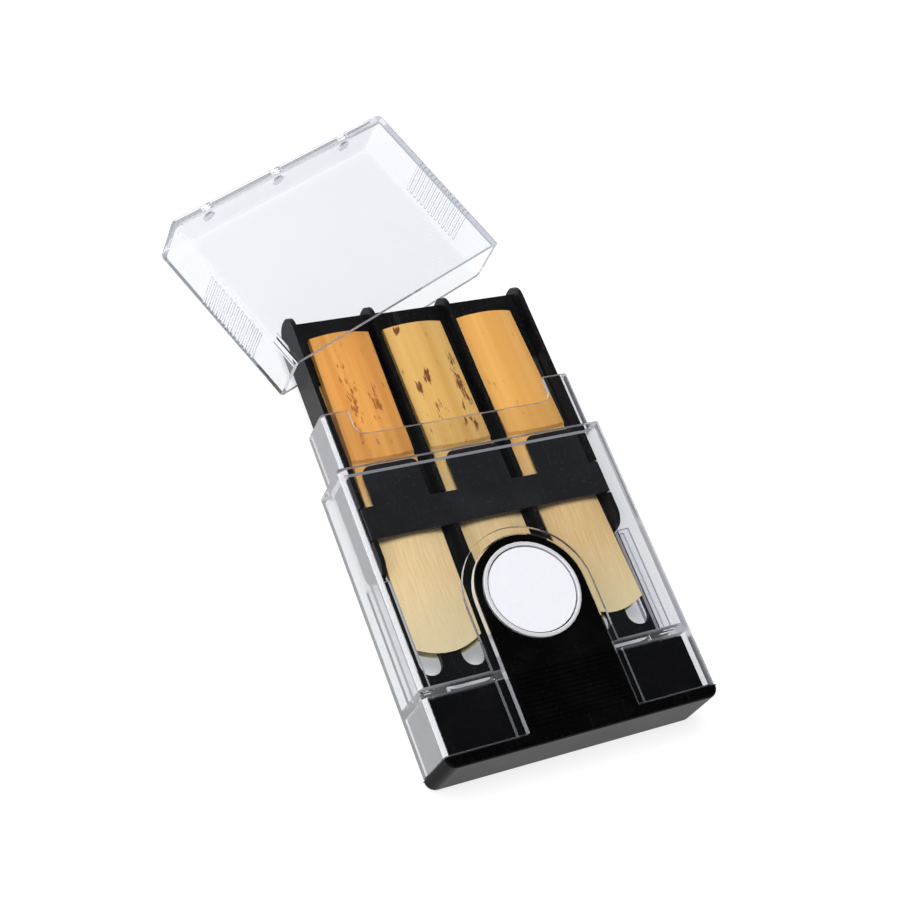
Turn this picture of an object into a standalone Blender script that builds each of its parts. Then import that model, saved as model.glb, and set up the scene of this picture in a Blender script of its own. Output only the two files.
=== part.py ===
"""Humidity-controlled case for six saxophone reeds, with its lid taken off.

The case lies on its back, as it is laid down to pick a reed. X is its width,
Y its length with the open mouth at +Y and the humidifier cap at -Y, Z its depth.
The origin is the centre of the sleeve's flat back face. Metres throughout.
"""
import math

import bmesh
import bpy
from mathutils import Matrix, Vector

# Fits between pieces, and the steps of round shapes
RUNNING_GAP = 0.0003
OVERRUN = 0.002
ROUND_STEPS = 40
VENT_STEPS = 16
PARALLEL_SHARE = 0.9

# Clear sleeve: a wide body and a narrower neck that the lid slides over
BODY_WIDTH = 0.061
BODY_DEPTH = 0.0137
BODY_LENGTH = 0.0612
BODY_EDGE_RADIUS = 0.0009
BODY_WALL = 0.0013
NECK_LENGTH = 0.0133
NECK_WALL = 0.0011
NECK_EDGE_RADIUS = 0.0008
SHOULDER_WALL = 0.0012
PARTITION_BASE = 0.0120
PARTITION_WALL = 0.0019
VENT_WIDTH = 0.010
VENT_HEIGHT = 0.0036
GUIDE_THICKNESS = 0.0011
GUIDE_END_GAP = 0.0008
GUIDE_BITE = 0.0014
RECESS_WIDTH = 0.0458
RECESS_DEPTH = 0.0058
RECESS_CORNER_RADIUS = 0.0026
ARCH_CENTRE = 0.0278
RIM_WALL = 0.0020
RIM_DROP = 0.0011

# Lid: an open box of the body's width and depth
LID_LENGTH = 0.0410
LID_SIDE_WALL = 0.0012
LID_FACE_WALL = 0.0013
LID_END_WALL = 0.0015
LID_EDGE_RADIUS = 0.0015
LID_INNER_RADIUS = 0.0008
LID_TURN = math.radians(21.8)
LID_MOUTH_X = -0.0027
LID_MOUTH_STATION = 0.0975
LID_VENT_RADIUS = 0.0014
LID_VENT_PITCH = 0.0197
LID_VENT_COUNT = 3
LID_VENT_HEIGHT = 0.0085
GRIP_COUNT = 14
GRIP_START = 0.0097
GRIP_PITCH = 0.00122
GRIP_WIDTH = 0.00050
GRIP_PROUD = 0.0004
GRIP_INSET = 0.0020

# Tray: a slotted web with outer rails and dividers on both of its faces
WEB_THICKNESS = 0.0012
TRAY_TOP = 0.0984
RAIL_THICKNESS = 0.0010
RAIL_HEIGHT = 0.0077
RAIL_BASE = 0.0385
RAIL_CREST = 0.0012
RAIL_END_RADIUS = 0.0033
DIVIDER_BASE = 0.0200
DIVIDER_END_RADIUS = 0.0030
LANE_COUNT = 3
SLOTS_PER_LANE = 2
SLOT_WIDTH = 0.0051
SLOT_MARGIN = 0.0007
SLOT_BASE = 0.0172
SLOT_TOP = 0.0843
WEB_CORNER_RADIUS = 0.0015

# Clip combs: a bar across the lanes with one sprung pad for each reed
COMB_BASE = 0.0460
COMB_BAR_LENGTH = 0.0071
COMB_BAR_THICKNESS = 0.0011
COMB_EDGE_RADIUS = 0.0003
PAD_LENGTH = 0.0085
PAD_GAP = 0.0047
PAD_THICKNESS = 0.0007
PAD_OFFSET = 0.0005
PAD_SPREAD = 0.0008
PAD_CORNER_RADIUS = 0.0016

# Reeds: flat below, arched bark above, and a vamp that thins to the tip
REED_LENGTH = 0.0725
REED_TIP_STATION = 0.0209
REED_BACK_DROP = 0.0004
REED_SIDE_GAP = 0.0013
REED_TAPER = 0.0004
REED_TIP_BOW = 0.0021
FRONT_HEEL_SHIFTS = (0.0005, -0.0004, -0.0012)
FRONT_TIP_SHIFTS = (-0.0009, 0.0, 0.0009)
REED_BARK_CROWN = 0.00275
REED_BARK_EDGE = 0.0015
REED_VAMP_LENGTH = 0.0425
REED_SHOULDER_LENGTH = 0.0006
REED_VAMP_CROWN = 0.0020
REED_VAMP_EDGE = 0.0012
REED_TIP_THICKNESS = 0.00018
REED_ROWS = 15
REED_COLUMNS = 10

# Humidifier: an end cap with a cassette for the sponge and a tongue over the front
CAP_THICKNESS = 0.0023
CAP_CORNER_RADIUS = 0.0021
CAP_CHAMFER = 0.0006
CASSETTE_LENGTH = 0.0117
CASSETTE_WALL = 0.0012
CASSETTE_DEPTH = 0.0094
TONGUE_RADIUS = 0.0120
TONGUE_THICKNESS = 0.0016
RIDGE_COUNT = 12
RIDGE_START = 0.0010
RIDGE_PITCH = 0.00096
RIDGE_WIDTH = 0.0004
RIDGE_PROUD = 0.00025
RIDGE_INSET = 0.0009
DIAL_RADIUS = 0.01035
DIAL_SEAT_DEPTH = 0.0009
BEZEL_WIDTH = 0.0008
BEZEL_HEIGHT = 0.0010
DISC_THICKNESS = 0.0006

# Places that follow from the sizes
MID_HEIGHT = BODY_DEPTH / 2
HALF_WIDTH = BODY_WIDTH / 2
NECK_INSET_X = LID_SIDE_WALL + RUNNING_GAP
NECK_INSET_Z = LID_FACE_WALL + RUNNING_GAP
NECK_HALF_WIDTH = HALF_WIDTH - NECK_INSET_X
BORE_HALF_WIDTH = NECK_HALF_WIDTH - NECK_WALL
BORE_LOW = NECK_INSET_Z + NECK_WALL
BORE_HIGH = BODY_DEPTH - BORE_LOW
BAY_HALF_WIDTH = HALF_WIDTH - BODY_WALL
BAY_LOW = BODY_WALL
BAY_HIGH = BODY_DEPTH - BODY_WALL
PARTITION_TOP = PARTITION_BASE + PARTITION_WALL
MOUTH = BODY_LENGTH + NECK_LENGTH
TRAY_HALF_WIDTH = BORE_HALF_WIDTH - RUNNING_GAP
TRAY_BASE = PARTITION_TOP + RUNNING_GAP
LANE_WIDTH = (2 * (TRAY_HALF_WIDTH - RAIL_THICKNESS) - (LANE_COUNT - 1) * RAIL_THICKNESS) / LANE_COUNT
LANE_PITCH = LANE_WIDTH + RAIL_THICKNESS
MIDDLE_LANE = (LANE_COUNT - 1) / 2
LANE_CENTRES = [LANE_PITCH * (lane - MIDDLE_LANE) for lane in range(LANE_COUNT)]
DIVIDER_CENTRES = [(a + b) / 2 for a, b in zip(LANE_CENTRES, LANE_CENTRES[1:])]
RAIL_CENTRE = TRAY_HALF_WIDTH - RAIL_THICKNESS / 2
RAIL_TOP = TRAY_TOP + RAIL_CREST
WEB_HIGH = WEB_THICKNESS / 2
RAIL_HIGH = RAIL_HEIGHT / 2
COMB_TOP_STATION = COMB_BASE + COMB_BAR_LENGTH
COMB_LOW = RAIL_HIGH - COMB_BAR_THICKNESS
PAD_WIDTH = LANE_WIDTH - PAD_GAP
PAD_CENTRES = [(LANE_PITCH + PAD_SPREAD) * (lane - MIDDLE_LANE) + PAD_OFFSET for lane in range(LANE_COUNT)]
REED_TIP_WIDTH = LANE_WIDTH - 2 * REED_SIDE_GAP
REED_HEEL_WIDTH = REED_TIP_WIDTH - 2 * REED_TAPER
ARCH_RADIUS = TONGUE_RADIUS + RUNNING_GAP
CASSETTE_HALF_WIDTH = BAY_HALF_WIDTH - RUNNING_GAP
CASSETTE_LOW = BAY_LOW + RUNNING_GAP
CASSETTE_HIGH = CASSETTE_LOW + CASSETTE_DEPTH
TONGUE_LOW = BODY_DEPTH - TONGUE_THICKNESS
RIM_LOW = BAY_HIGH - RIM_DROP
DIAL_SEAT = BODY_DEPTH - DIAL_SEAT_DEPTH

PARTS = "reed_case"
CUTTERS = "cutters"


def along(station):
    """Y of a place measured from the sleeve's base end."""
    return station - BODY_LENGTH / 2


def clear_scene():
    for obj in list(bpy.data.objects):
        bpy.data.objects.remove(obj, do_unlink=True)


def make_collection(name):
    group = bpy.data.collections.new(name)
    bpy.context.scene.collection.children.link(group)
    return group


def make_material(name, colour, roughness, metallic=0.0, alpha=1.0):
    material = bpy.data.materials.new(name)
    material.use_nodes = True
    shader = material.node_tree.nodes["Principled BSDF"]
    shader.inputs["Base Color"].default_value = (*colour, 1.0)
    shader.inputs["Roughness"].default_value = roughness
    shader.inputs["Metallic"].default_value = metallic
    shader.inputs["Alpha"].default_value = alpha
    return material


def make_object(name, mesh, group=CUTTERS):
    obj = bpy.data.objects.new(name, mesh)
    bpy.data.collections[group].objects.link(obj)
    return obj


def from_bmesh(name, shape):
    mesh = bpy.data.meshes.new(name)
    shape.normal_update()
    shape.to_mesh(mesh)
    shape.free()
    return make_object(name, mesh)


def cube(x_span, y_span, z_span):
    """A bmesh box that fills three spans."""
    shape = bmesh.new()
    bmesh.ops.create_cube(shape, size=1.0)
    spans = (x_span, y_span, z_span)
    size = Matrix.Diagonal(Vector([high - low for low, high in spans]).to_4d())
    centre = Matrix.Translation([(high + low) / 2 for low, high in spans])
    bmesh.ops.transform(shape, matrix=centre @ size, verts=shape.verts)
    return shape


def block(name, x_span, y_span, z_span):
    return from_bmesh(name, cube(x_span, y_span, z_span))


def rounded_block(name, x_span, y_span, z_span, radius, axis=1, segments=3):
    """A box whose edges along one axis, or all of them with axis None, are rounded."""
    shape = cube(x_span, y_span, z_span)
    edges = shape.edges[:]
    if axis is not None:
        edges = [e for e in edges if abs((e.verts[1].co - e.verts[0].co).normalized()[axis]) > PARALLEL_SHARE]
    bmesh.ops.bevel(shape, geom=edges, offset=radius, segments=segments, profile=0.5, affect="EDGES")
    return from_bmesh(name, shape)


def arc(centre, radius, start, end, steps):
    """Points of an arc, with its angles in degrees."""
    angles = [math.radians(start + (end - start) * step / steps) for step in range(steps + 1)]
    return [(centre[0] + radius * math.cos(a), centre[1] + radius * math.sin(a)) for a in angles]


def rounded_outline(a_span, b_span, radii, steps=5):
    """A rectangle whose corners, from low a and low b counter-clockwise, have given radii."""
    corners = [(a_span[0], b_span[0]), (a_span[1], b_span[0]), (a_span[1], b_span[1]), (a_span[0], b_span[1])]
    inward = [(1, 1), (-1, 1), (-1, -1), (1, -1)]
    points = []
    for quarter, (corner, way, radius) in enumerate(zip(corners, inward, radii)):
        if not radius:
            points.append(corner)
            continue
        centre = (corner[0] + way[0] * radius, corner[1] + way[1] * radius)
        start = 180 + 90 * quarter
        points += arc(centre, radius, start, start + 90, steps)
    return points


def arch_outline(radius, base, steps=24):
    """A tongue shape: a round head on straight sides that run to a base."""
    head = arc((0, along(ARCH_CENTRE)), radius, 0, 180, steps)
    return [(-radius, base), (radius, base)] + head


def prism(name, outline, low, high, axis="Z"):
    """A flat outline, drawn in XY or for axis X in YZ, extruded between two levels."""
    curve = bpy.data.curves.new(name, "CURVE")
    curve.dimensions = "2D"
    curve.fill_mode = "BOTH"
    curve.extrude = (high - low) / 2
    spline = curve.splines.new("POLY")
    spline.points.add(len(outline) - 1)
    for point, (a, b) in zip(spline.points, outline):
        point.co = (a, b, 0, 1)
    spline.use_cyclic_u = True
    drawn = make_object(name + "_outline", curve)
    middle = (high + low) / 2
    if axis == "X":
        turn = Matrix(((0, 0, 1), (1, 0, 0), (0, 1, 0))).to_4x4()
        drawn.matrix_world = Matrix.Translation((middle, 0, 0)) @ turn
    else:
        drawn.matrix_world = Matrix.Translation((0, 0, middle))
    bpy.context.view_layer.update()
    evaluated = drawn.evaluated_get(bpy.context.evaluated_depsgraph_get())
    mesh = bpy.data.meshes.new_from_object(evaluated)
    shape = bmesh.new()
    shape.from_mesh(mesh)
    bmesh.ops.remove_doubles(shape, verts=shape.verts, dist=RUNNING_GAP / 100)
    bmesh.ops.transform(shape, matrix=drawn.matrix_world, verts=shape.verts)
    bmesh.ops.recalc_face_normals(shape, faces=shape.faces)
    bpy.data.objects.remove(drawn, do_unlink=True)
    bpy.data.meshes.remove(mesh)
    return from_bmesh(name, shape)


def cylinder(name, centre, radius, length, axis="Z", steps=ROUND_STEPS):
    shape = bmesh.new()
    bmesh.ops.create_cone(shape, cap_ends=True, segments=steps, radius1=radius, radius2=radius, depth=length)
    if axis == "Y":
        bmesh.ops.rotate(shape, matrix=Matrix.Rotation(math.pi / 2, 3, "X"), verts=shape.verts)
    bmesh.ops.translate(shape, vec=centre, verts=shape.verts)
    return from_bmesh(name, shape)


def boolean(target, tool, operation):
    modifier = target.modifiers.new(tool.name, "BOOLEAN")
    modifier.operation = operation
    modifier.object = tool
    modifier.solver = "EXACT"
    tool.hide_render = True
    tool.display_type = "WIRE"


def cut(target, *tools):
    for tool in tools:
        boolean(target, tool, "DIFFERENCE")


def fuse(target, *tools):
    for tool in tools:
        boolean(target, tool, "UNION")


def round_edges(obj, radius, segments=2):
    bevel = obj.modifiers.new("edges", "BEVEL")
    bevel.width = radius
    bevel.segments = segments
    bevel.limit_method = "ANGLE"
    bevel.angle_limit = math.radians(50)


def finish(obj, name, material, origin):
    """Name a sub-part, put it among the parts and set its origin."""
    obj.name = name
    obj.data.name = name
    obj.data.materials.clear()
    obj.data.materials.append(material)
    bpy.data.collections[CUTTERS].objects.unlink(obj)
    bpy.data.collections[PARTS].objects.link(obj)
    obj.data.transform(Matrix.Translation(-Vector(origin)))
    obj.location = origin
    obj.data.shade_smooth()
    obj.data.set_sharp_from_angle(angle=math.radians(35))
    return obj


def mirrored_spans(low, high):
    """A span and its mirror image, right one first."""
    return ((low, high), (-high, -low))


def make_guides():
    """Ledges on the bay's side walls that the web's two edges slide between."""
    ledges = []
    inner = TRAY_HALF_WIDTH - GUIDE_BITE
    outer = BAY_HALF_WIDTH + BODY_WALL / 2
    near = WEB_HIGH + RUNNING_GAP
    y_span = (along(PARTITION_TOP - PARTITION_WALL / 2), along(RAIL_BASE - GUIDE_END_GAP))
    for x_span in mirrored_spans(inner, outer):
        for low, high in mirrored_spans(near, near + GUIDE_THICKNESS):
            ledges.append(block("guide", x_span, y_span, (MID_HEIGHT + low, MID_HEIGHT + high)))
    return ledges


def make_recess(z_span):
    """Cutter for the wide finger recess in one face of the neck."""
    half = RECESS_WIDTH / 2
    y_span = (along(MOUTH - RECESS_DEPTH), along(MOUTH) + OVERRUN)
    radii = (RECESS_CORNER_RADIUS, RECESS_CORNER_RADIUS, 0, 0)
    return prism("recess", rounded_outline((-half, half), y_span, radii), *z_span)


def make_sleeve(material):
    body = rounded_block("body", (-HALF_WIDTH, HALF_WIDTH), (along(0), along(BODY_LENGTH)), (0, BODY_DEPTH),
                         BODY_EDGE_RADIUS)
    neck_y = (along(BODY_LENGTH - SHOULDER_WALL), along(MOUTH))
    neck = rounded_block("neck", (-NECK_HALF_WIDTH, NECK_HALF_WIDTH), neck_y,
                         (NECK_INSET_Z, BODY_DEPTH - NECK_INSET_Z), NECK_EDGE_RADIUS)
    fuse(body, neck)
    bay_x = (-BAY_HALF_WIDTH, BAY_HALF_WIDTH)
    bay_z = (BAY_LOW, BAY_HIGH)
    humidifier_bay = block("humidifier_bay", bay_x, (along(0) - OVERRUN, along(PARTITION_BASE)), bay_z)
    tray_bay = block("tray_bay", bay_x, (along(PARTITION_TOP), along(BODY_LENGTH - SHOULDER_WALL)), bay_z)
    bore = block("bore", (-BORE_HALF_WIDTH, BORE_HALF_WIDTH),
                 (along(BODY_LENGTH - SHOULDER_WALL) - OVERRUN, along(MOUTH) + OVERRUN), (BORE_LOW, BORE_HIGH))
    cut(body, humidifier_bay, tray_bay, bore)
    rim = prism("rim", arch_outline(ARCH_RADIUS + RIM_WALL, along(0)), RIM_LOW, BODY_DEPTH)
    fuse(body, rim, *make_guides())
    arch = prism("arch", arch_outline(ARCH_RADIUS, along(0) - OVERRUN), RIM_LOW - RUNNING_GAP, BODY_DEPTH + OVERRUN)
    cut(body, arch)
    for centre in LANE_CENTRES:
        x_span = (centre - VENT_WIDTH / 2, centre + VENT_WIDTH / 2)
        y_span = (along(PARTITION_BASE) - OVERRUN, along(PARTITION_TOP) + OVERRUN)
        z_span = (MID_HEIGHT - VENT_HEIGHT / 2, MID_HEIGHT + VENT_HEIGHT / 2)
        cut(body, rounded_block("vent", x_span, y_span, z_span, VENT_HEIGHT / 3))
    cut(body, make_recess((BORE_HIGH - NECK_WALL / 2, BODY_DEPTH + OVERRUN)))
    cut(body, make_recess((-OVERRUN, BORE_LOW + NECK_WALL / 2)))
    return finish(body, "sleeve", material, (0, 0, 0))


def stadium(x_centre, width, y_span):
    half = width / 2
    return rounded_outline((x_centre - half, x_centre + half), y_span, (half,) * 4)


def make_upright(x_centre, base, end_radius):
    """A rail or divider: a plate on edge with rounded corners."""
    outline = rounded_outline((along(base), along(RAIL_TOP)), (MID_HEIGHT - RAIL_HIGH, MID_HEIGHT + RAIL_HIGH),
                              (end_radius, RAIL_END_RADIUS, RAIL_END_RADIUS, end_radius))
    half = RAIL_THICKNESS / 2
    return prism("upright", outline, x_centre - half, x_centre + half, axis="X")


def make_tray(material):
    y_span = (along(TRAY_BASE), along(TRAY_TOP))
    outline = rounded_outline((-RAIL_CENTRE, RAIL_CENTRE), y_span, (WEB_CORNER_RADIUS, WEB_CORNER_RADIUS, 0, 0))
    web = prism("web", outline, MID_HEIGHT - WEB_HIGH, MID_HEIGHT + WEB_HIGH)
    for x_centre in (-RAIL_CENTRE, RAIL_CENTRE):
        fuse(web, make_upright(x_centre, RAIL_BASE, RAIL_END_RADIUS))
    for x_centre in DIVIDER_CENTRES:
        fuse(web, make_upright(x_centre, DIVIDER_BASE, DIVIDER_END_RADIUS))
    slot_count = LANE_COUNT * SLOTS_PER_LANE
    slot_pitch = 2 * (RAIL_CENTRE - SLOT_MARGIN - SLOT_WIDTH / 2) / (slot_count - 1)
    for slot in range(slot_count):
        x_centre = slot_pitch * (slot - (slot_count - 1) / 2)
        outline = stadium(x_centre, SLOT_WIDTH, (along(SLOT_BASE), along(SLOT_TOP)))
        cut(web, prism("slot", outline, MID_HEIGHT - RAIL_HIGH, MID_HEIGHT + RAIL_HIGH))
    notch_y = (along(COMB_BASE) - RUNNING_GAP, along(COMB_TOP_STATION) + RUNNING_GAP)
    notch_x = (-TRAY_HALF_WIDTH - OVERRUN, TRAY_HALF_WIDTH + OVERRUN)
    for low, high in mirrored_spans(COMB_LOW - RUNNING_GAP, RAIL_HIGH + OVERRUN):
        cut(web, block("notch", notch_x, notch_y, (MID_HEIGHT + low, MID_HEIGHT + high)))
    return finish(web, "tray", material, (0, along(TRAY_BASE), MID_HEIGHT))


def turn_over(obj):
    """Turn a piece of the front face over to the back face, about the tray's middle plane."""
    middle = Matrix.Translation((0, 0, MID_HEIGHT))
    obj.data.transform(middle @ Matrix.Rotation(math.pi, 4, "Y") @ middle.inverted())


def comb_outline():
    """The bar with its pads, counter-clockwise from the bar's lower left corner."""
    low = along(COMB_BASE)
    shoulder = along(COMB_TOP_STATION)
    top = shoulder + PAD_LENGTH
    points = [(-TRAY_HALF_WIDTH, low), (TRAY_HALF_WIDTH, low), (TRAY_HALF_WIDTH, shoulder)]
    for centre in reversed(PAD_CENTRES):
        left = centre - PAD_WIDTH / 2
        right = centre + PAD_WIDTH / 2
        radius = PAD_CORNER_RADIUS
        points.append((right, shoulder))
        points += arc((right - radius, top - radius), radius, 0, 90, 4)
        points += arc((left + radius, top - radius), radius, 90, 180, 4)
        points.append((left, shoulder))
    points.append((-TRAY_HALF_WIDTH, shoulder))
    return points


def make_comb(name, material, back):
    """A thin plate of bar and pads, with a stiffening beam under the bar that sits in the notches."""
    high = MID_HEIGHT + RAIL_HIGH
    plate = prism("comb_plate", comb_outline(), high - PAD_THICKNESS, high)
    inset = COMB_EDGE_RADIUS / 2
    beam = block("beam", (inset - TRAY_HALF_WIDTH, TRAY_HALF_WIDTH - inset),
                 (along(COMB_BASE) + inset, along(COMB_TOP_STATION) - inset),
                 (high - COMB_BAR_THICKNESS, high - PAD_THICKNESS / 2))
    if back:
        turn_over(plate)
        turn_over(beam)
    round_edges(plate, COMB_EDGE_RADIUS)
    fuse(plate, beam)
    return finish(plate, name, material, (0, along(COMB_BASE), MID_HEIGHT))


def blend(low, high, share):
    return low + (high - low) * share


def reed_heights(run):
    """Crown and edge heights at a distance from the heel."""
    shoulder = REED_LENGTH - REED_VAMP_LENGTH
    if run <= shoulder:
        return REED_BARK_CROWN, REED_BARK_EDGE
    share = (run - shoulder) / REED_VAMP_LENGTH
    return (blend(REED_VAMP_CROWN, REED_TIP_THICKNESS, share),
            blend(REED_VAMP_EDGE, REED_TIP_THICKNESS, share ** 0.5))


def reed_runs():
    """Distances from the heel of the loft's rows: the bark, the shoulder, then the vamp."""
    shoulder = REED_LENGTH - REED_VAMP_LENGTH
    bark = [0.0, shoulder / 2, shoulder]
    vamp_rows = REED_ROWS - len(bark) - 1
    start = shoulder + REED_SHOULDER_LENGTH
    vamp = [blend(start, REED_LENGTH, row / vamp_rows) for row in range(vamp_rows + 1)]
    return bark + vamp


def make_reed(name, material, lane, back):
    """A loft from the arched heel to the bowed, thin tip, flat side down on the web.

    The reeds of the front lie a little askew in their lanes, those of the back straight.
    """
    floor = MID_HEIGHT + WEB_HIGH + RUNNING_GAP
    tip = REED_TIP_STATION - (REED_BACK_DROP if back else 0)
    heel = tip + REED_LENGTH
    heel_shift = 0 if back else FRONT_HEEL_SHIFTS[lane]
    tip_shift = 0 if back else FRONT_TIP_SHIFTS[lane]
    shape = bmesh.new()
    rings = []
    for run in reed_runs():
        share = run / REED_LENGTH
        half = blend(REED_HEEL_WIDTH, REED_TIP_WIDTH, share) / 2
        crown, edge = reed_heights(run)
        shift = blend(heel_shift, tip_shift, share)
        ring = []
        for column in range(REED_COLUMNS + 1):
            across = 2 * column / REED_COLUMNS - 1
            bow = REED_TIP_BOW * across ** 2 * share
            place = (shift + half * across, along(heel) - run + bow)
            height = edge + (crown - edge) * (1 - across ** 2)
            ring.append(shape.verts.new((*place, floor + height)))
        for column in (REED_COLUMNS, 0):
            across = 2 * column / REED_COLUMNS - 1
            bow = REED_TIP_BOW * across ** 2 * share
            ring.append(shape.verts.new((shift + half * across, along(heel) - run + bow, floor)))
        rings.append(ring)
    for first, second in zip(rings, rings[1:]):
        for corner, corner_next in zip(range(len(first)), list(range(1, len(first))) + [0]):
            shape.faces.new((first[corner], first[corner_next], second[corner_next], second[corner]))
    shape.faces.new(rings[0])
    last = rings[-1]
    shape.faces.new(last)
    bmesh.ops.triangulate(shape, faces=shape.faces[:])
    bmesh.ops.recalc_face_normals(shape, faces=shape.faces)
    reed = from_bmesh("reed", shape)
    centre = LANE_CENTRES[lane]
    if back:
        turn_over(reed)
    reed.data.transform(Matrix.Translation((centre, 0, 0)))
    middle = floor - MID_HEIGHT
    origin = (centre, along(heel), MID_HEIGHT + (-middle if back else middle))
    return finish(reed, name, material, origin)


def make_base_cap(material):
    """End cap, sponge cassette and the tongue that fills the arch, moulded as one."""
    face = along(0) - RUNNING_GAP
    outline = rounded_outline((-HALF_WIDTH, HALF_WIDTH), (face - CAP_THICKNESS, face),
                              (CAP_CORNER_RADIUS, CAP_CORNER_RADIUS, 0, 0))
    cap = prism("cap", outline, 0, BODY_DEPTH)
    shape = bmesh.new()
    shape.from_mesh(cap.data)
    level = [e for e in shape.edges
             if abs(e.verts[0].co.z - e.verts[1].co.z) < RUNNING_GAP
             and min(v.co.y for v in e.verts) < face - RUNNING_GAP and len(e.link_faces) == 2
             and e.calc_face_angle() > 1]
    bmesh.ops.bevel(shape, geom=level, offset=CAP_CHAMFER, segments=2, profile=0.5, affect="EDGES")
    shape.to_mesh(cap.data)
    shape.free()
    root = face - CAP_THICKNESS / 2
    cassette = block("cassette", (-CASSETTE_HALF_WIDTH, CASSETTE_HALF_WIDTH), (root, along(CASSETTE_LENGTH)),
                     (CASSETTE_LOW, CASSETTE_HIGH))
    inner = CASSETTE_HALF_WIDTH - CASSETTE_WALL
    well = block("well", (-inner, inner), (along(CASSETTE_WALL), along(CASSETTE_LENGTH) + OVERRUN),
                 (CASSETTE_LOW + CASSETTE_WALL, CASSETTE_HIGH - CASSETTE_WALL))
    tongue = prism("tongue", arch_outline(TONGUE_RADIUS, root), TONGUE_LOW, BODY_DEPTH)
    fuse(cap, cassette, tongue)
    cut(cap, well)
    seat = cylinder("seat", (0, along(ARCH_CENTRE), DIAL_SEAT + OVERRUN / 2), DIAL_RADIUS + RUNNING_GAP, OVERRUN)
    cut(cap, seat)
    half = TONGUE_RADIUS - RIDGE_INSET
    for ridge in range(RIDGE_COUNT):
        start = RIDGE_START + RIDGE_PITCH * ridge
        y_span = (along(start), along(start + RIDGE_WIDTH))
        fuse(cap, block("ridge", (-half, half), y_span, (BODY_DEPTH - RIDGE_WIDTH, BODY_DEPTH + RIDGE_PROUD)))
    return finish(cap, "base_cap", material, (0, face, MID_HEIGHT))


def make_sponge(material):
    half = CASSETTE_HALF_WIDTH - CASSETTE_WALL - RUNNING_GAP
    y_span = (along(CASSETTE_WALL) + RUNNING_GAP, along(CASSETTE_LENGTH) - RUNNING_GAP)
    margin = CASSETTE_WALL + RUNNING_GAP
    sponge = rounded_block("sponge", (-half, half), y_span, (CASSETTE_LOW + margin, CASSETTE_HIGH - margin),
                           CASSETTE_WALL / 3, axis=None, segments=2)
    return finish(sponge, "sponge", material, (0, along(CASSETTE_WALL), MID_HEIGHT))


def turned(name, profile):
    """A profile of radius and height, turned about the dial's axis."""
    mesh = bpy.data.meshes.new(name)
    mesh.from_pydata([(r, 0, z) for r, z in profile], [(i, (i + 1) % len(profile)) for i in range(len(profile))], [])
    obj = make_object(name, mesh)
    screw = obj.modifiers.new("turn", "SCREW")
    screw.steps = ROUND_STEPS
    screw.render_steps = ROUND_STEPS
    screw.use_merge_vertices = True
    screw.merge_threshold = RUNNING_GAP / 100
    return obj


def make_bezel(material):
    base = DIAL_SEAT + RUNNING_GAP
    top = base + BEZEL_HEIGHT
    inner = DIAL_RADIUS - BEZEL_WIDTH
    ease = BEZEL_WIDTH / 4
    profile = [(DIAL_RADIUS, top - ease), (DIAL_RADIUS, base), (inner, base), (inner, top - ease),
               (inner + ease, top), (DIAL_RADIUS - ease, top)]
    bezel = turned("bezel", profile)
    finish(bezel, "indicator_bezel", material, (0, 0, 0))
    bezel.location = (0, along(ARCH_CENTRE), 0)
    return bezel


def make_disc(material):
    radius = DIAL_RADIUS - BEZEL_WIDTH - RUNNING_GAP
    low = DIAL_SEAT + RUNNING_GAP
    disc = cylinder("disc", (0, along(ARCH_CENTRE), low + DISC_THICKNESS / 2), radius, DISC_THICKNESS)
    return finish(disc, "indicator_disc", material, (0, along(ARCH_CENTRE), low))


def open_box(name, half_width, y_span, z_span, radius, segments):
    """A box with every edge rounded apart from those of its open end at low Y."""
    stretched = (y_span[0] - 2 * radius, y_span[1])
    shape = cube((-half_width, half_width), stretched, z_span)
    bmesh.ops.bevel(shape, geom=shape.edges[:], offset=radius, segments=segments, profile=0.5, affect="EDGES")
    geometry = shape.verts[:] + shape.edges[:] + shape.faces[:]
    sliced = bmesh.ops.bisect_plane(shape, geom=geometry, plane_co=(0, y_span[0], 0), plane_no=(0, -1, 0),
                                    clear_outer=True)
    rim = [e for e in sliced["geom_cut"] if isinstance(e, bmesh.types.BMEdge)]
    bmesh.ops.contextual_create(shape, geom=rim)
    bmesh.ops.recalc_face_normals(shape, faces=shape.faces)
    return from_bmesh(name, shape)


def make_lid(material):
    """Built square about its own mouth, then laid down at its angle beside the case."""
    lid = open_box("lid", HALF_WIDTH, (0, LID_LENGTH), (0, BODY_DEPTH), LID_EDGE_RADIUS, 4)
    for side in (-1, 1):
        face = side * HALF_WIDTH
        for grip in range(GRIP_COUNT):
            start = GRIP_START + GRIP_PITCH * grip
            x_span = sorted((face - side * LID_SIDE_WALL / 2, face + side * GRIP_PROUD))
            z_span = (GRIP_INSET, BODY_DEPTH - GRIP_INSET)
            fuse(lid, block("grip", x_span, (start, start + GRIP_WIDTH), z_span))
    hollow = open_box("hollow", HALF_WIDTH - LID_SIDE_WALL, (-OVERRUN, LID_LENGTH - LID_END_WALL),
                      (LID_FACE_WALL, BODY_DEPTH - LID_FACE_WALL), LID_INNER_RADIUS, 2)
    cut(lid, hollow)
    tools = [modifier.object for modifier in lid.modifiers]
    for vent in range(LID_VENT_COUNT):
        x_centre = LID_VENT_PITCH * (vent - (LID_VENT_COUNT - 1) / 2)
        centre = (x_centre, LID_LENGTH, LID_VENT_HEIGHT)
        drill = cylinder("lid_vent", centre, LID_VENT_RADIUS, LID_END_WALL * 4, axis="Y", steps=VENT_STEPS)
        cut(lid, drill)
        tools.append(drill)
    finish(lid, "lid", material, (0, 0, 0))
    laid = Matrix.Translation((LID_MOUTH_X, along(LID_MOUTH_STATION), 0)) @ Matrix.Rotation(LID_TURN, 4, "Z")
    for piece in [lid] + tools:
        piece.matrix_world = laid
    return lid


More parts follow.
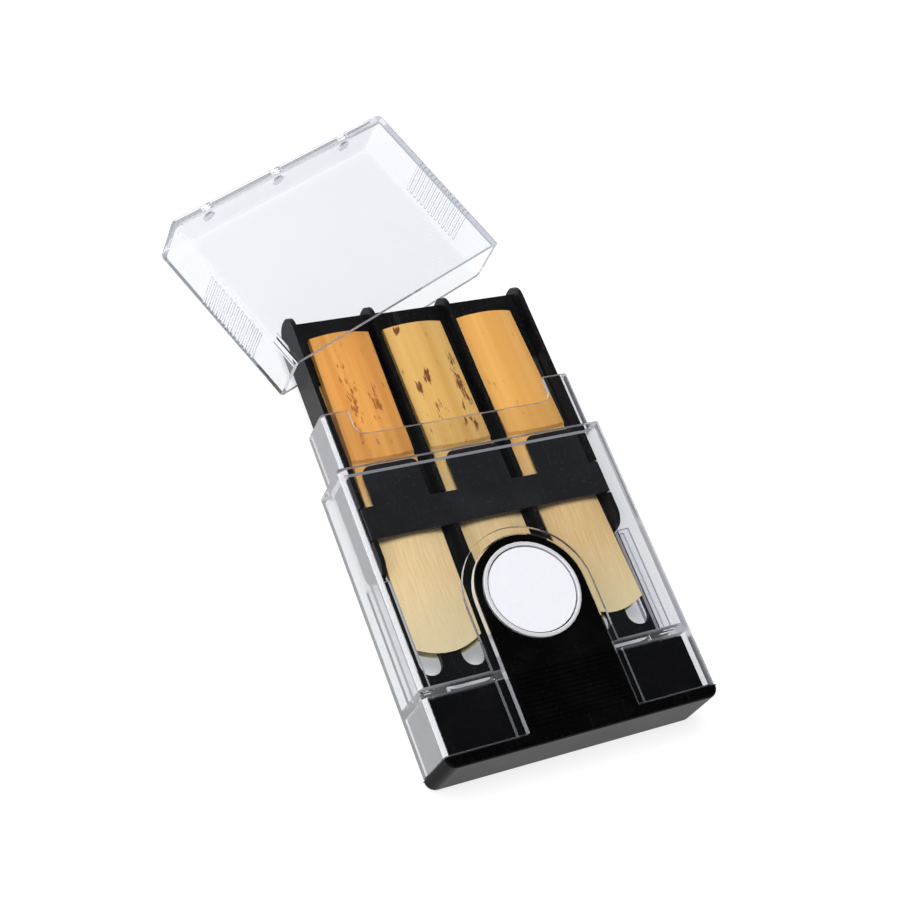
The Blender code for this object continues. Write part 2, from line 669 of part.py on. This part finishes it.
def build():
    clear_scene()
    make_collection(PARTS)
    make_collection(CUTTERS)
    clear = make_material("clear_plastic", (0.90, 0.92, 0.94), 0.08, alpha=0.30)
    black = make_material("black_plastic", (0.012, 0.012, 0.013), 0.35)
    gloss = make_material("gloss_black_plastic", (0.010, 0.010, 0.011), 0.12)
    cane = make_material("cane", (0.72, 0.47, 0.20), 0.50)
    silver = make_material("bezel_silver", (0.55, 0.56, 0.60), 0.25, metallic=0.8)
    white = make_material("indicator_white", (0.80, 0.80, 0.84), 0.45)
    foam = make_material("sponge_foam", (0.10, 0.10, 0.10), 0.95)
    make_sleeve(clear)
    make_tray(black)
    make_comb("clip_comb_front", black, back=False)
    make_comb("clip_comb_back", black, back=True)
    for lane in range(LANE_COUNT):
        make_reed(f"reed_front_{lane + 1}", cane, lane, back=False)
        make_reed(f"reed_back_{lane + 1}", cane, lane, back=True)
    make_base_cap(gloss)
    make_sponge(foam)
    make_bezel(silver)
    make_disc(white)
    make_lid(clear)


build()
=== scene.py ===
import math

import bmesh
import bpy
from mathutils import Matrix, Vector


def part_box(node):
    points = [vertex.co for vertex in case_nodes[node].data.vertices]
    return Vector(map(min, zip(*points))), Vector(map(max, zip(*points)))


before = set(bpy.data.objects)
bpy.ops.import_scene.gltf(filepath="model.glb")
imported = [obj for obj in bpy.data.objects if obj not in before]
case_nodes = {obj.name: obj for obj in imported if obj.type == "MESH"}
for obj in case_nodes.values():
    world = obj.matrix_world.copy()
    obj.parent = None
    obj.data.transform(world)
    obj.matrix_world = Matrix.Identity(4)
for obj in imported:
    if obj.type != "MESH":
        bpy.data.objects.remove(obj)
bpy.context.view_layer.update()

# The case is looked at from beyond its lower left corner, from well above, with the picture turned
# so that its length runs from the upper left to the lower right.
# A long lens keeps its sides nearly parallel.
view_aim = Vector((0.00182, 0.03651, 0.0))
view_place = Vector((-0.16023, -0.10251, 0.30264))
view_roll = math.radians(32.99)
view_data = bpy.data.cameras.new("view")
view_data.sensor_width = 36.0
view_data.lens = 69.52
view_data.clip_start = 0.01
view = bpy.data.objects.new("view", view_data)
bpy.context.scene.collection.objects.link(view)
level = (view_place - view_aim).to_track_quat("Z", "Y")
turned = level @ Matrix.Rotation(view_roll, 3, "Z").to_quaternion()
view.matrix_world = Matrix.LocRotScale(view_place, turned, None)
bpy.context.scene.camera = view
bpy.context.scene.view_settings.view_transform = "Standard"


# The ground is a plain white sheet, laid just under the back face of the case. It is pale enough to vanish
# into the background and still take a soft shadow. Seen through clear plastic it glows less by itself
# and takes more of the lamps' light, so the shadow under the case is deeper there.
def new_material(name):
    """A node material with its default nodes cleared, its tree and its output."""
    material = bpy.data.materials.new(name)
    material.use_nodes = True
    material.node_tree.nodes.clear()
    return material, material.node_tree, material.node_tree.nodes.new("ShaderNodeOutputMaterial")


def add_node(tree, kind, **values):
    """A shader node with some of its sockets or settings set by name."""
    node = tree.nodes.new(kind)
    for key, value in values.items():
        label = key.replace("_", " ")
        if label in node.inputs:
            feed(tree, node.inputs[label], value)
        else:
            setattr(node, key, value)
    return node


def feed(tree, socket, value):
    """Join a socket to another node's output, or set it to a plain value."""
    if isinstance(value, bpy.types.NodeSocket):
        tree.links.new(value, socket)
    elif socket.type == "RGBA":
        socket.default_value = (*value, 1.0)
    else:
        socket.default_value = value


def work_out(tree, operation, first, second):
    """The output of a Math node on two values."""
    node = add_node(tree, "ShaderNodeMath", operation=operation)
    feed(tree, node.inputs[0], first)
    feed(tree, node.inputs[1], second)
    return node.outputs[0]


sheet_tone = 0.28
sheet_glow = 0.80
tone_gained_through_plastic = 0.355
glow_lost_through_plastic = 0.39
sheet_reach = 2.5
sheet_drop = 0.0003
sheet_material, tree, output = new_material("white_ground")
rays = add_node(tree, "ShaderNodeLightPath").outputs
through_plastic = rays["Is Transmission Ray"]
tone_gain = work_out(tree, "MULTIPLY", through_plastic, tone_gained_through_plastic)
paleness = work_out(tree, "ADD", tone_gain, sheet_tone)
paper = add_node(tree, "ShaderNodeBsdfDiffuse", Color=paleness)
shown = work_out(tree, "MAXIMUM", rays["Is Camera Ray"], rays["Is Glossy Ray"])
shown = work_out(tree, "MAXIMUM", shown, through_plastic)
glow_loss = work_out(tree, "MULTIPLY", through_plastic, glow_lost_through_plastic)
own_glow = work_out(tree, "SUBTRACT", sheet_glow, glow_loss)
lift = add_node(tree, "ShaderNodeEmission", Strength=work_out(tree, "MULTIPLY", shown, own_glow))
total = add_node(tree, "ShaderNodeAddShader")
feed(tree, total.inputs[0], paper.outputs[0])
feed(tree, total.inputs[1], lift.outputs[0])
feed(tree, output.inputs["Surface"], total.outputs[0])
sheet_mesh = bpy.data.meshes.new("ground")
shape = bmesh.new()
bmesh.ops.create_grid(shape, x_segments=1, y_segments=1, size=sheet_reach)
bmesh.ops.translate(shape, vec=(0.0, 0.0, -sheet_drop), verts=shape.verts)
shape.to_mesh(sheet_mesh)
shape.free()
sheet_mesh.materials.append(sheet_material)
ground = bpy.data.objects.new("ground", sheet_mesh)
bpy.context.scene.collection.objects.link(ground)


# Soft studio light: a pale sky that turns dark overhead, a broad lamp nearly above the case,
# and a weaker one out on its left.
# The sky shows white to the camera, and pale through clear plastic.
def mix_shaders(tree, factor, first, second):
    """The output of a Mix Shader node."""
    node = add_node(tree, "ShaderNodeMixShader")
    feed(tree, node.inputs[0], factor)
    feed(tree, node.inputs[1], first)
    feed(tree, node.inputs[2], second)
    return node.outputs[0]


pale_sky = (0.62, 0.63, 0.66, 1.0)
pale_up_to = 0.45
dark_sky = (0.05, 0.052, 0.058, 1.0)
dark_from = 0.72
sky = bpy.data.worlds.new("sky")
bpy.context.scene.world = sky
sky.use_nodes = True
tree = sky.node_tree
tree.nodes.clear()
rays = add_node(tree, "ShaderNodeLightPath").outputs
sky_spot = add_node(tree, "ShaderNodeTexCoord").outputs["Generated"]
sky_height = add_node(tree, "ShaderNodeSeparateXYZ", Vector=sky_spot).outputs["Z"]
sky_ramp = add_node(tree, "ShaderNodeValToRGB", Fac=sky_height)
sky_ramp.color_ramp.elements[0].position = pale_up_to
sky_ramp.color_ramp.elements[0].color = pale_sky
sky_ramp.color_ramp.elements[1].position = dark_from
sky_ramp.color_ramp.elements[1].color = dark_sky
sky_light = add_node(tree, "ShaderNodeBackground", Color=sky_ramp.outputs["Color"])
sky_clear = add_node(tree, "ShaderNodeBackground", Color=(0.82, 0.85, 0.90))
sky_white = add_node(tree, "ShaderNodeBackground", Color=(1.0, 1.0, 1.0))
sky_unseen = mix_shaders(tree, rays["Is Transmission Ray"], sky_light.outputs[0], sky_clear.outputs[0])
sky_seen = mix_shaders(tree, rays["Is Camera Ray"], sky_unseen, sky_white.outputs[0])
feed(tree, add_node(tree, "ShaderNodeOutputWorld").inputs["Surface"], sky_seen)

lamp_aim = Vector((0.0, 0.03, 0.0))


def hang_lamp(name, place, size, power):
    """A round soft lamp that faces the middle of the case and leaves no round patch in the gloss."""
    data = bpy.data.lights.new(name, "AREA")
    data.shape = "DISK"
    data.size = size
    data.energy = power
    lamp = bpy.data.objects.new(name, data)
    bpy.context.scene.collection.objects.link(lamp)
    lamp.visible_glossy = False
    away = Vector(place) - lamp_aim
    lamp.matrix_world = Matrix.LocRotScale(Vector(place), away.to_track_quat("Z", "Y"), None)


hang_lamp("high_lamp", place=(-0.25, 0.20, 0.97), size=0.55, power=8.6)
hang_lamp("side_lamp", place=(-0.85, 0.05, 0.55), size=0.50, power=2.4)


# The tray is one black plastic moulding that slides in the sleeve. Its skin is fine and slightly uneven,
# with rubbed patches, hairline scratches and specks of dust.
# The clip combs and the humidifier have the same skin.
def spread(tree, value, low, high, start=0.0, end=1.0):
    """The output of a Map Range node that takes low to high onto start to end."""
    node = add_node(tree, "ShaderNodeMapRange", Value=value)
    node.inputs["From Min"].default_value = low
    node.inputs["From Max"].default_value = high
    node.inputs["To Min"].default_value = start
    node.inputs["To Max"].default_value = end
    return node.outputs["Result"]


def mix_colours(tree, factor, first, second):
    """The output of a Mix node on two colours."""
    node = add_node(tree, "ShaderNodeMix", data_type="RGBA")
    feed(tree, node.inputs["Factor"], factor)
    feed(tree, node.inputs["A"], first)
    feed(tree, node.inputs["B"], second)
    return node.outputs["Result"]


def open_group(name, ways_in, ways_out):
    """A shader node group with its named sockets, its input node's outputs and its output node's inputs."""
    group = bpy.data.node_groups.new(name, "ShaderNodeTree")
    for label, kind in ways_in:
        group.interface.new_socket(name=label, in_out="INPUT", socket_type="NodeSocket" + kind)
    for label, kind in ways_out:
        group.interface.new_socket(name=label, in_out="OUTPUT", socket_type="NodeSocket" + kind)
    return group, group.nodes.new("NodeGroupInput").outputs, group.nodes.new("NodeGroupOutput").inputs


def noise(tree, where, scale, detail=2.0, roughness=0.5, distortion=0.0):
    """The value of a Noise Texture node."""
    node = add_node(tree, "ShaderNodeTexNoise", Vector=where, Scale=scale, Detail=detail,
                    Roughness=roughness, Distortion=distortion)
    return node.outputs["Fac"]


def make_skin_group():
    """The grain, rubbed patches, scratches and dust of moulded plastic."""
    group, entry, leave = open_group(
        "moulded_skin",
        (("Colour", "Color"), ("Rubbed", "Color"), ("Dust", "Color"), ("Grain Scale", "Float"),
         ("Roughness", "Float"), ("Roughness Spread", "Float"), ("Grain Depth", "Float")),
        (("Colour", "Color"), ("Roughness", "Float"), ("Normal", "Vector")))
    where = add_node(group, "ShaderNodeTexCoord").outputs["Object"]
    cloud = noise(group, where, scale=90.0, detail=5.0, roughness=0.6)
    specks = spread(group, noise(group, where, scale=2400.0, detail=1.0), low=0.66, high=0.76)
    hairs = add_node(group, "ShaderNodeMapping", Vector=where, Rotation=(0.0, 0.0, 0.7),
                     Scale=(1.0, 0.02, 1.0))
    hair_lines = noise(group, hairs.outputs[0], scale=2600.0, detail=1.0)
    scratches = spread(group, hair_lines, low=0.68, high=0.80, end=0.5)
    marks = work_out(group, "MAXIMUM", specks, scratches)
    rubbing = spread(group, cloud, low=0.48, high=0.72)
    tone = mix_colours(group, rubbing, entry["Colour"], entry["Rubbed"])
    rough = add_node(group, "ShaderNodeMath", operation="MULTIPLY_ADD")
    feed(group, rough.inputs[0], cloud)
    feed(group, rough.inputs[1], entry["Roughness Spread"])
    feed(group, rough.inputs[2], entry["Roughness"])
    grain = noise(group, where, scale=entry["Grain Scale"])
    bump = add_node(group, "ShaderNodeBump", Distance=0.0001, Strength=entry["Grain Depth"], Height=grain)
    feed(group, leave["Colour"], mix_colours(group, marks, tone, entry["Dust"]))
    feed(group, leave["Roughness"], rough.outputs[0])
    feed(group, leave["Normal"], bump.outputs["Normal"])
    return group


moulded_skin = make_skin_group()
moulded_grain_scale = 9000.0


def black_plastic(name, colour, rubbed, dust, roughness, roughness_spread, grain_depth, ior):
    """A black plastic with the moulded skin, its own gloss and its own tone."""
    material, tree, output = new_material(name)
    skin = add_node(tree, "ShaderNodeGroup", node_tree=moulded_skin)
    for label, value in (("Colour", colour), ("Rubbed", rubbed), ("Dust", dust),
                         ("Grain Scale", moulded_grain_scale), ("Roughness", roughness),
                         ("Roughness Spread", roughness_spread), ("Grain Depth", grain_depth)):
        feed(tree, skin.inputs[label], value)
    shader = add_node(tree, "ShaderNodeBsdfPrincipled", IOR=ior, Base_Color=skin.outputs["Colour"],
                      Roughness=skin.outputs["Roughness"], Normal=skin.outputs["Normal"])
    feed(tree, output.inputs["Surface"], shader.outputs[0])
    return material


def dress(node_name, material):
    """Give a CAD node its finish."""
    mesh = case_nodes[node_name].data
    mesh.materials.clear()
    mesh.materials.append(material)


tray_black = black_plastic("tray_black", colour=(0.0045, 0.0045, 0.0048), rubbed=(0.009, 0.009, 0.0095),
                           dust=(0.050, 0.049, 0.046), roughness=0.34, roughness_spread=0.14,
                           grain_depth=0.10, ior=1.28)
dress("tray", tray_black)


# The two clip combs are thin black mouldings, smoother than the tray.
# Each is pressed into the notches of the rails, with its sprung pads on the reeds.
comb_black = black_plastic("comb_black", colour=(0.011, 0.011, 0.012), rubbed=(0.018, 0.018, 0.0198),
                           dust=(0.040, 0.040, 0.042), roughness=0.36, roughness_spread=0.10,
                           grain_depth=0.05, ior=1.35)
dress("clip_comb_front", comb_black)
dress("clip_comb_back", comb_black)


# The reeds are cane: orange bark with brown flecks at the heel, and a pale cut vamp with long fine grain.
# Three lie on each face of the tray, under the pads of the combs.
# All but the third of the front ones are flecked in patches.
shoulder_from_heel = 0.0300
shoulder_edge = 0.0003
pale_tip_length = 0.0170
pale_tip_share = 0.75
# How far below the shoulder the vamp's painted shade reaches.
vamp_shade_length = 0.0130
patch_lift = 0.20
patch_rim = 1.0
patch_core = 0.3


def make_cane_group():
    """Cane that turns from flecked bark to cut vamp at the shoulder, with painted shade below it, and pales
    towards the tip.
    """
    group, entry, leave = open_group(
        "cane_grain",
        (("Bark", "Color"), ("Bark Dark", "Color"), ("Fleck", "Color"), ("Fleck Scale", "Float"),
         ("Patch", "Float"), ("Vamp", "Color"), ("Vamp Dark", "Color"), ("Tip", "Color"),
         ("Above Shoulder", "Float"), ("Above Tip", "Float"), ("Seed", "Vector")),
        (("Colour", "Color"), ("Roughness", "Float"), ("Normal", "Vector")))
    where = add_node(group, "ShaderNodeTexCoord").outputs["Object"]
    along = add_node(group, "ShaderNodeMapping", Vector=where, Location=entry["Seed"],
                     Scale=(1.0, 0.03, 1.0))
    fibre = noise(group, along.outputs[0], scale=4200.0, detail=3.0, roughness=0.55)
    broad = noise(group, along.outputs[0], scale=420.0)
    spot_way = add_node(group, "ShaderNodeMapping", Vector=where, Location=entry["Seed"],
                        Scale=(1.0, 0.28, 1.0))
    spots = noise(group, spot_way.outputs[0], scale=entry["Fleck Scale"], detail=3.0, roughness=0.6,
                  distortion=0.4)
    spotted = work_out(group, "ADD", spots, work_out(group, "MULTIPLY", entry["Patch"], patch_lift))
    lightness = spread(group, broad, low=0.32, high=0.64)
    bark = mix_colours(group, lightness, entry["Bark Dark"], entry["Bark"])
    bark = mix_colours(group, spread(group, spotted, low=0.65, high=0.74), bark, entry["Fleck"])
    vamp = mix_colours(group, spread(group, fibre, low=0.34, high=0.60), entry["Vamp Dark"], entry["Vamp"])
    pale = spread(group, entry["Above Tip"], low=0.0, high=pale_tip_length, start=pale_tip_share, end=0.0)
    vamp = mix_colours(group, pale, vamp, entry["Tip"])
    # Painted shade: just below the shoulder the vamp is darkened towards the bark's colour, for the shade
    # that the comb casts there.
    comb_shade = spread(group, entry["Above Shoulder"], low=-vamp_shade_length, high=0.0)
    vamp = mix_colours(group, comb_shade, vamp, entry["Bark"])
    is_bark = spread(group, entry["Above Shoulder"], low=-shoulder_edge, high=0.0)
    bump = add_node(group, "ShaderNodeBump", Distance=0.00008, Strength=0.22, Height=fibre)
    feed(group, leave["Colour"], mix_colours(group, is_bark, vamp, bark))
    feed(group, leave["Roughness"], spread(group, is_bark, low=0.0, high=1.0, start=0.62, end=0.42))
    feed(group, leave["Normal"], bump.outputs["Normal"])
    return group


cane_grain = make_cane_group()


def cane(node_name, bark, bark_dark, fleck, fleck_scale, patches, vamp, vamp_dark, tip, seed):
    """The cane of one reed.

    A patch of flecks is how far it lies across from the reed's middle and below its heel,
    and half its width and length.
    """
    low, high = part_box(node_name)
    middle = (low[0] + high[0]) / 2.0
    material, tree, output = new_material("cane_" + node_name)
    where = add_node(tree, "ShaderNodeTexCoord").outputs["Object"]
    station = add_node(tree, "ShaderNodeSeparateXYZ", Vector=where).outputs["Y"]
    patch = 0.0
    for across, below_heel, half_width, half_length in patches:
        size = Vector((1.0 / half_width, 1.0 / half_length, 0.0))
        centre = Vector((middle + across, high[1] - below_heel, 0.0))
        place = add_node(tree, "ShaderNodeMapping", Vector=where, Location=-centre * size, Scale=size)
        reach = add_node(tree, "ShaderNodeVectorMath", operation="LENGTH", Vector=place.outputs[0])
        inside = spread(tree, reach.outputs["Value"], low=patch_rim, high=patch_core)
        patch = work_out(tree, "MAXIMUM", inside, patch)
    above_shoulder = work_out(tree, "SUBTRACT", station, high[1] - shoulder_from_heel)
    above_tip = work_out(tree, "SUBTRACT", station, low[1])
    grain = add_node(tree, "ShaderNodeGroup", node_tree=cane_grain)
    for label, value in (("Bark", bark), ("Bark Dark", bark_dark), ("Fleck", fleck),
                         ("Fleck Scale", fleck_scale), ("Patch", patch), ("Vamp", vamp),
                         ("Vamp Dark", vamp_dark), ("Tip", tip), ("Seed", (seed, seed / 3.0, 0.0)),
                         ("Above Shoulder", above_shoulder), ("Above Tip", above_tip)):
        feed(tree, grain.inputs[label], value)
    shader = add_node(tree, "ShaderNodeBsdfPrincipled", Base_Color=grain.outputs["Colour"],
                      Roughness=grain.outputs["Roughness"], Normal=grain.outputs["Normal"])
    shader.inputs["Specular IOR Level"].default_value = 0.30
    feed(tree, output.inputs["Surface"], shader.outputs[0])
    dress(node_name, material)


cane("reed_front_1", bark=(0.77, 0.37, 0.095), bark_dark=(0.64, 0.27, 0.06), fleck=(0.36, 0.115, 0.028),
     fleck_scale=1300.0,
     patches=((-0.0018, 0.0150, 0.0022, 0.0115), (0.0030, 0.0175, 0.0018, 0.0060),
              (-0.0032, 0.0245, 0.0014, 0.0050)),
     vamp=(0.88, 0.66, 0.355), vamp_dark=(0.79, 0.555, 0.27), tip=(0.74, 0.64, 0.41), seed=0.013)
cane("reed_front_2", bark=(0.69, 0.42, 0.135), bark_dark=(0.60, 0.335, 0.09), fleck=(0.17, 0.055, 0.020),
     fleck_scale=860.0,
     patches=((-0.0022, 0.0134, 0.0016, 0.0036), (-0.0046, 0.0155, 0.0010, 0.0024),
              (0.0047, 0.0160, 0.0018, 0.0090), (-0.0024, 0.0215, 0.0014, 0.0036),
              (-0.0046, 0.0012, 0.0014, 0.0016), (0.0034, 0.0258, 0.0028, 0.0040)),
     vamp=(0.80, 0.60, 0.32), vamp_dark=(0.70, 0.48, 0.23), tip=(0.74, 0.64, 0.41), seed=0.291)
cane("reed_front_3", bark=(0.75, 0.395, 0.11), bark_dark=(0.70, 0.345, 0.085), fleck=(0.52, 0.22, 0.06),
     fleck_scale=900.0, patches=(),
     vamp=(0.79, 0.55, 0.27), vamp_dark=(0.69, 0.455, 0.20), tip=(0.76, 0.67, 0.41), seed=0.567)
# The back reeds' vamps and tips are painted paler and brighter than the front ones': painted light for the
# light that shines through their thin cane, since they lie in shade behind the tray.
for lane in (1, 2, 3):
    cane(f"reed_back_{lane}", bark=(0.80, 0.43, 0.14), bark_dark=(0.72, 0.36, 0.10),
         fleck=(0.30, 0.12, 0.04), fleck_scale=1000.0, patches=((0.0, 0.0150, 0.0030, 0.0090),),
         vamp=(0.90, 0.74, 0.40), vamp_dark=(0.84, 0.66, 0.33), tip=(0.95, 0.84, 0.50),
         seed=0.8 + lane * 0.21)


# The humidifier is one gloss black moulding: the end cap, the box for the sponge behind it,
# and the tongue that fills the arch, with thin ridges across its root for the thumb.
cap_black = black_plastic("cap_gloss_black", colour=(0.0015, 0.0015, 0.0016), rubbed=(0.004, 0.004, 0.0042),
                          dust=(0.010, 0.010, 0.010), roughness=0.24, roughness_spread=0.12,
                          grain_depth=0.03, ior=1.12)
dress("base_cap", cap_black)


# The sponge is dark open-cell foam, cut square and pushed into the cap's box.
# It hardly shows.
sponge_material, tree, output = new_material("sponge_foam")
where = add_node(tree, "ShaderNodeTexCoord").outputs["Object"]
cells = add_node(tree, "ShaderNodeTexVoronoi", Vector=where, Scale=1400.0).outputs["Distance"]
cell_bump = add_node(tree, "ShaderNodeBump", Distance=0.0004, Strength=0.8, Height=cells)
cell_tone = mix_colours(tree, cells, (0.006, 0.006, 0.006), (0.05, 0.05, 0.052))
foam = add_node(tree, "ShaderNodeBsdfPrincipled", Roughness=0.95, Base_Color=cell_tone,
                Normal=cell_bump.outputs["Normal"])
foam.inputs["Specular IOR Level"].default_value = 0.1
feed(tree, output.inputs["Surface"], foam.outputs[0])
dress("sponge", sponge_material)


# The ring round the indicator has a satin silver finish with a fine, slightly uneven sheen.
# It is pressed into the round seat at the head of the tongue.
ring_material, tree, output = new_material("ring_metal")
where = add_node(tree, "ShaderNodeTexCoord").outputs["Object"]
sheen = noise(tree, where, scale=5000.0)
silver = add_node(tree, "ShaderNodeBsdfPrincipled", Metallic=0.35,
                  Base_Color=mix_colours(tree, sheen, (0.80, 0.80, 0.82), (0.92, 0.92, 0.94)),
                  Roughness=spread(tree, sheen, low=0.0, high=1.0, start=0.30, end=0.46))
feed(tree, output.inputs["Surface"], silver.outputs[0])
dress("indicator_bezel", ring_material)


# The indicator is a white card disc with a faint cool tint, which lies inside the ring.
# Its face is bare.
card_material, tree, output = new_material("indicator_card")
where = add_node(tree, "ShaderNodeTexCoord").outputs["Object"]
fuzz = noise(tree, where, scale=1500.0, detail=6.0, roughness=0.7)
card_bump = add_node(tree, "ShaderNodeBump", Distance=0.00002, Strength=0.3, Height=fuzz)
card = add_node(tree, "ShaderNodeBsdfPrincipled", Normal=card_bump.outputs["Normal"],
                Base_Color=mix_colours(tree, fuzz, (0.76, 0.76, 0.80), (0.86, 0.86, 0.90)),
                Roughness=spread(tree, fuzz, low=0.0, high=1.0, start=0.38, end=0.55))
card.inputs["Specular IOR Level"].default_value = 0.3
feed(tree, output.inputs["Surface"], card.outputs[0])
dress("indicator_disc", card_material)


# The sleeve is moulded in clear plastic. Its upright walls turn hazy and faintly cool where they are seen
# at a slant, and its level panels stay clear.
# Its neck takes the lid, and its front is cut away in an arch for the tongue.
def make_flow_group():
    """The faint flow marks of clear moulded plastic, in its tint and in its surface."""
    group, entry, leave = open_group(
        "flow_marks",
        (("Tint", "Color"), ("Tint Dark", "Color"), ("Ripple", "Float")),
        (("Colour", "Color"), ("Normal", "Vector")))
    where = add_node(group, "ShaderNodeTexCoord").outputs["Object"]
    flow = noise(group, where, scale=55.0, detail=3.0, distortion=1.2)
    bump = add_node(group, "ShaderNodeBump", Distance=0.0004, Strength=entry["Ripple"], Height=flow)
    feed(group, leave["Colour"], mix_colours(group, flow, entry["Tint Dark"], entry["Tint"]))
    feed(group, leave["Normal"], bump.outputs["Normal"])
    return group


flow_marks = make_flow_group()
lamplight_kept = (0.97, 0.975, 0.98)


def clear_plastic(name, tint, tint_dark, ripple, haze_tone, haze_power, haze_share, mirror_kept):
    """Clear plastic that lamplight and bounced light pass straight through.

    A mirrored ray passes straight through too, and keeps only the mirror_kept tone.
    """
    material, tree, output = new_material(name)
    flow = add_node(tree, "ShaderNodeGroup", node_tree=flow_marks)
    for label, value in (("Tint", tint), ("Tint Dark", tint_dark), ("Ripple", ripple)):
        feed(tree, flow.inputs[label], value)
    glass = add_node(tree, "ShaderNodeBsdfPrincipled", Roughness=0.0, IOR=1.45,
                     Base_Color=flow.outputs["Colour"], Normal=flow.outputs["Normal"])
    glass.inputs["Transmission Weight"].default_value = 1.0
    haze = add_node(tree, "ShaderNodeBsdfDiffuse", Color=haze_tone)
    facing_away = add_node(tree, "ShaderNodeLayerWeight", Blend=0.5).outputs["Facing"]
    slant = work_out(tree, "POWER", facing_away, haze_power)
    face_way = add_node(tree, "ShaderNodeTexCoord").outputs["Normal"]
    face_up = add_node(tree, "ShaderNodeSeparateXYZ", Vector=face_way).outputs["Z"]
    upright = work_out(tree, "SUBTRACT", 1.0, work_out(tree, "MULTIPLY", face_up, face_up))
    haziness = work_out(tree, "MULTIPLY", work_out(tree, "MULTIPLY", slant, haze_share), upright)
    hazy = mix_shaders(tree, haziness, glass.outputs[0], haze.outputs[0])
    passing = add_node(tree, "ShaderNodeBsdfTransparent", Color=lamplight_kept).outputs[0]
    dimmed = add_node(tree, "ShaderNodeBsdfTransparent", Color=mirror_kept).outputs[0]
    rays = add_node(tree, "ShaderNodeLightPath").outputs
    mirrored = mix_shaders(tree, rays["Is Diffuse Ray"], dimmed, passing)
    seen = mix_shaders(tree, rays["Is Reflection Ray"], hazy, mirrored)
    feed(tree, output.inputs["Surface"], mix_shaders(tree, rays["Is Shadow Ray"], seen, passing))
    return material


sleeve_clear = clear_plastic("sleeve_clear", tint=(0.965, 0.972, 0.985), tint_dark=(0.945, 0.955, 0.972),
                             ripple=0.02, haze_tone=(0.94, 0.945, 0.965), haze_power=3.5, haze_share=1.8,
                             mirror_kept=(0.80, 0.80, 0.835))
dress("sleeve", sleeve_clear)


# The lid is the clearest moulding: an open box with rounded edges, three vents in its end
# and fine grip ribs on its two short sides.
# It lies beside the case, with one corner of the tray in its mouth.
lid_clear = clear_plastic("lid_clear", tint=(0.985, 0.992, 1.0), tint_dark=(0.972, 0.985, 0.996),
                          ripple=0.003, haze_tone=(0.42, 0.43, 0.46), haze_power=8.0, haze_share=2.6,
                          mirror_kept=(0.84, 0.85, 0.88))
dress("lid", lid_clear)
